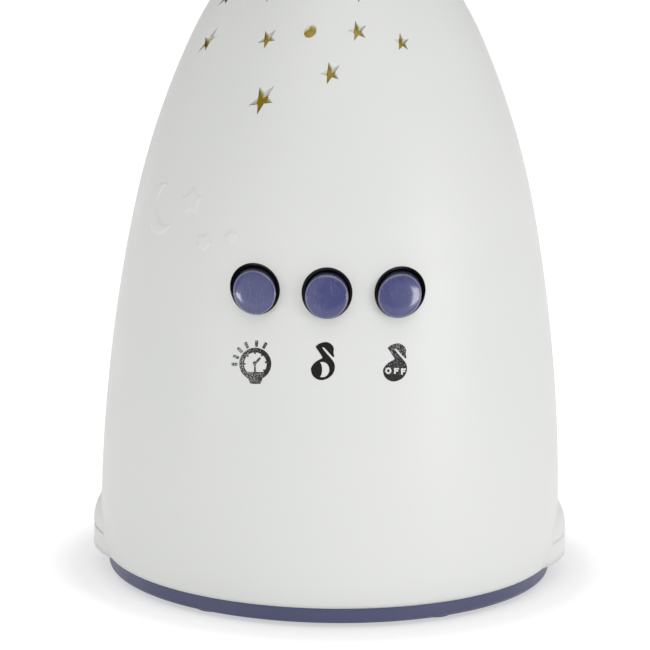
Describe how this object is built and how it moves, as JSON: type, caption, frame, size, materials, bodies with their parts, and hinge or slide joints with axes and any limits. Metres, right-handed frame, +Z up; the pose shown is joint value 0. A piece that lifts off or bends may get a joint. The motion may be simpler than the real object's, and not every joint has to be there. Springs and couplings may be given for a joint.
{
  "type": "star night light projector",
  "caption": "Bullet-shaped nursery night light with star-shaped holes in its dome, push buttons in front, a loudspeaker and a battery door below.",
  "frame": {"origin": "middle of the round base, on the surface that the rubber feet stand on", "axes": "+Z up through the dome's tip; the buttons face -Y; +X is to the right seen from the buttons"},
  "size_m": [0.1236, 0.1194, 0.175],
  "materials": {
    "shell_plastic": "satin",
    "amber_plastic": "gloss, translucent",
    "purple_plastic": "gloss",
    "base_plastic": "satin",
    "black_plastic": "satin",
    "board_laminate": "lacquered",
    "screw_steel": "zinc plated",
    "contact_metal": "nickel plated",
    "cell_jacket": "satin",
    "lamp_clear": "clear",
    "magnet_iron": "sintered",
    "cone_paper": "pressed paper",
    "foot_rubber": "matt",
    "lead_jacket": "matt"
  },
  "bodies": {
    "housing": {"outer_shell": "shell_plastic", "star_filter_dome": "amber_plastic", "lamp_deck": "shell_plastic", "deck_screws": "screw_steel", "lamp_board": "board_laminate", "lamps": "lamp_clear", "button_frame": "black_plastic", "switch_housings": "black_plastic", "button_board": "board_laminate", "button_screws": "screw_steel", "base_plate": "base_plastic", "battery_cells": "cell_jacket", "contact_plates": "contact_metal", "contact_springs": "contact_metal", "main_board": "board_laminate", "board_parts": "black_plastic", "board_screws": "screw_steel", "speaker_basket": "screw_steel", "speaker_magnet": "magnet_iron", "speaker_cone": "cone_paper", "speaker_clamp": "shell_plastic", "clamp_screws": "screw_steel", "base_screws": "screw_steel", "rubber_feet": "foot_rubber", "lamp_leads": "lead_jacket", "button_leads": "lead_jacket", "speaker_leads": "lead_jacket", "battery_leads": "lead_jacket"},
    "left_button": {"button_left": "purple_plastic", "switch_plunger_left": "black_plastic"},
    "middle_button": {"button_middle": "purple_plastic", "switch_plunger_middle": "black_plastic"},
    "right_button": {"button_right": "purple_plastic", "switch_plunger_right": "black_plastic"},
    "door": {"battery_door": "base_plastic", "door_screw": "screw_steel"}
  },
  "joints": [
    {"name": "left_button_press", "type": "slide", "parent": "housing", "child": "left_button", "axis": [0, 1, 0], "range_m": [0, 0.001], "stiffness_N_per_m": 900, "springref_m": -0.0006},
    {"name": "middle_button_press", "type": "slide", "parent": "housing", "child": "middle_button", "axis": [0, 1, 0], "range_m": [0, 0.001], "stiffness_N_per_m": 900, "springref_m": -0.0006},
    {"name": "right_button_press", "type": "slide", "parent": "housing", "child": "right_button", "axis": [0, 1, 0], "range_m": [0, 0.001], "stiffness_N_per_m": 900, "springref_m": -0.0006},
    {"name": "battery_door_hinge", "type": "hinge", "parent": "housing", "child": "door", "pos_m": [-0.03095, 0.0175, 0.0025], "axis": [0, 1, 0], "range_deg": [0, 30]}
  ]
}
